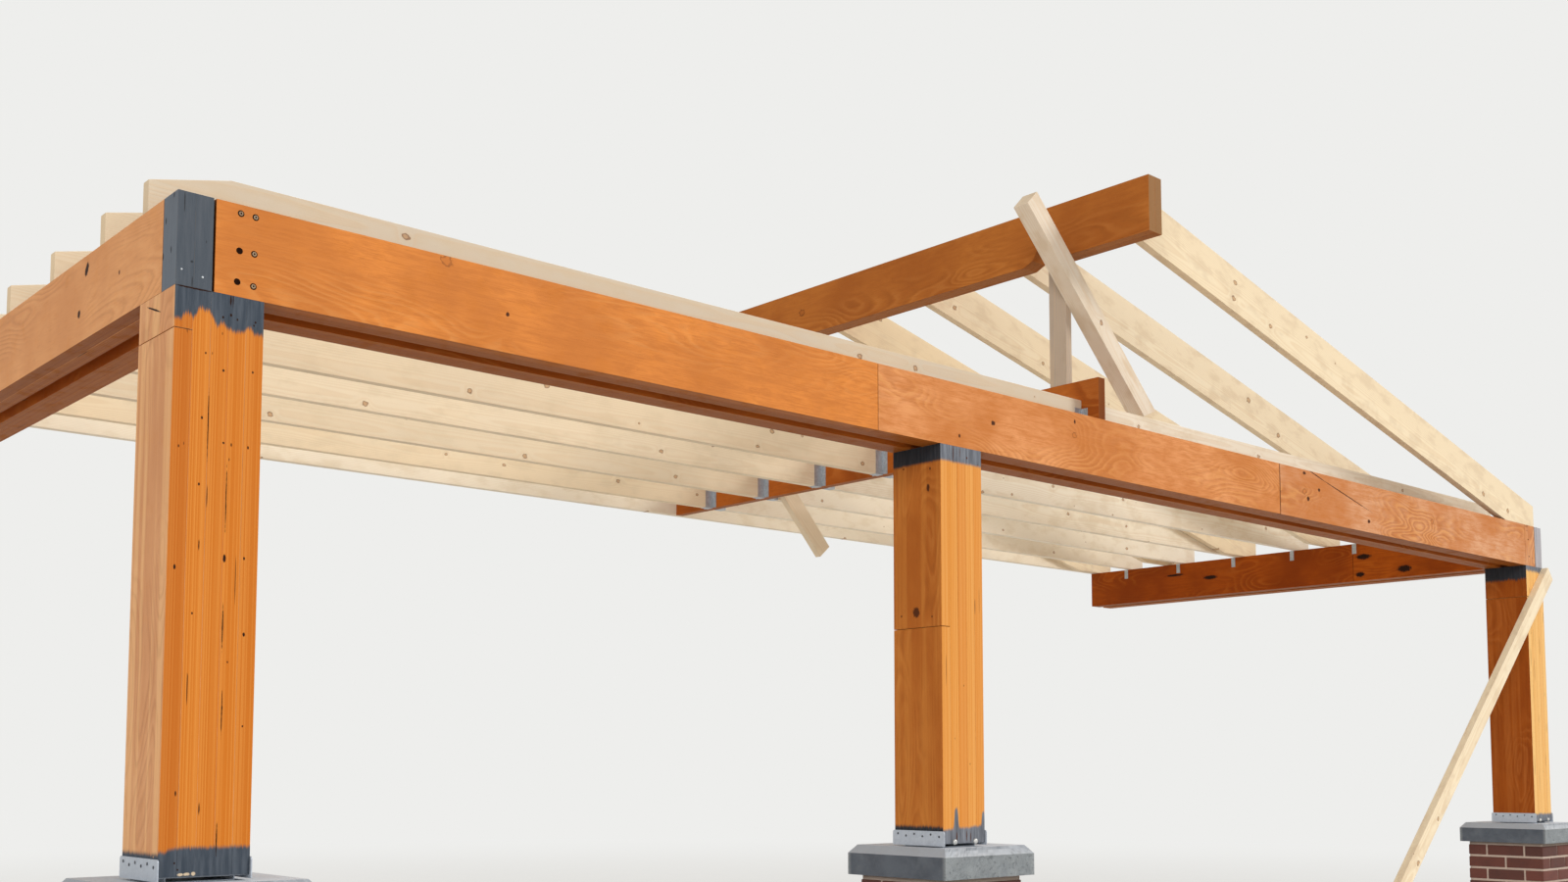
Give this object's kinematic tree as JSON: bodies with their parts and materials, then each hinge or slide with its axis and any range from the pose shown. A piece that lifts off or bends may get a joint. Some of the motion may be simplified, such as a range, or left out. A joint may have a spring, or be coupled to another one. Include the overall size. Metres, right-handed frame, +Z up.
{
  "type": "timber porch canopy frame",
  "caption": "Part-framed porch canopy: laminated beams on posts and brick piers, ceiling joists, a ridge and the rafters of one roof slope, held at a wall.",
  "frame": {"origin": "middle of the ledger's back face, where the canopy is fixed to the wall", "axes": "+X to the right along the wall, +Y into the wall, +Z up"},
  "size_m": [8.2325, 3.177, 3.951],
  "materials": {
    "brick": "rough fired brick with pale mortar joints",
    "capstone": "split-faced grey stone",
    "galvanised": "dull galvanised sheet",
    "post_timber": "weathered laminated veneer",
    "beam_timber": "laminated veneer, ply edges showing",
    "face_veneer": "orange-brown rotary-cut veneer",
    "rafter_timber": "planed softwood",
    "pale_timber": "planed softwood",
    "blue_paint": "slate-blue primer, matt",
    "grey_paint": "light grey primer, matt"
  },
  "bodies": {
    "root": {"pier_left": "brick", "pier_middle": "brick", "pier_right": "brick", "cap_left": "capstone", "cap_middle": "capstone", "cap_right": "capstone", "base_left": "galvanised", "base_middle": "galvanised", "base_right": "galvanised", "post_left": "post_timber", "post_middle": "post_timber", "post_right": "post_timber", "corner_block_left": "blue_paint", "corner_block_right": "grey_paint", "front_beam_boards": "face_veneer", "front_beam_back_ply": "beam_timber", "front_beam_inner": "beam_timber", "front_beam_spacers": "beam_timber", "left_beam_outer": "face_veneer", "left_beam_inner": "beam_timber", "left_beam_spacers": "beam_timber", "right_beam_outer": "beam_timber", "right_beam_inner": "beam_timber", "right_beam_spacers": "beam_timber", "cross_beam": "beam_timber", "ridge_front": "beam_timber", "ridge_rear": "beam_timber", "ledger": "pale_timber", "joists_left": "pale_timber", "joists_right": "pale_timber", "hangers_left": "galvanised", "hangers_right": "galvanised", "ties_left": "galvanised", "ties_right": "galvanised", "rafter_1": "rafter_timber", "rafter_2": "rafter_timber", "rafter_3": "rafter_timber", "rafter_4": "rafter_timber", "rafter_5": "rafter_timber", "rafter_6": "rafter_timber", "ridge_stud": "pale_timber", "ridge_brace": "pale_timber", "hung_brace": "pale_timber", "post_brace": "pale_timber"}
  },
  "joints": []
}
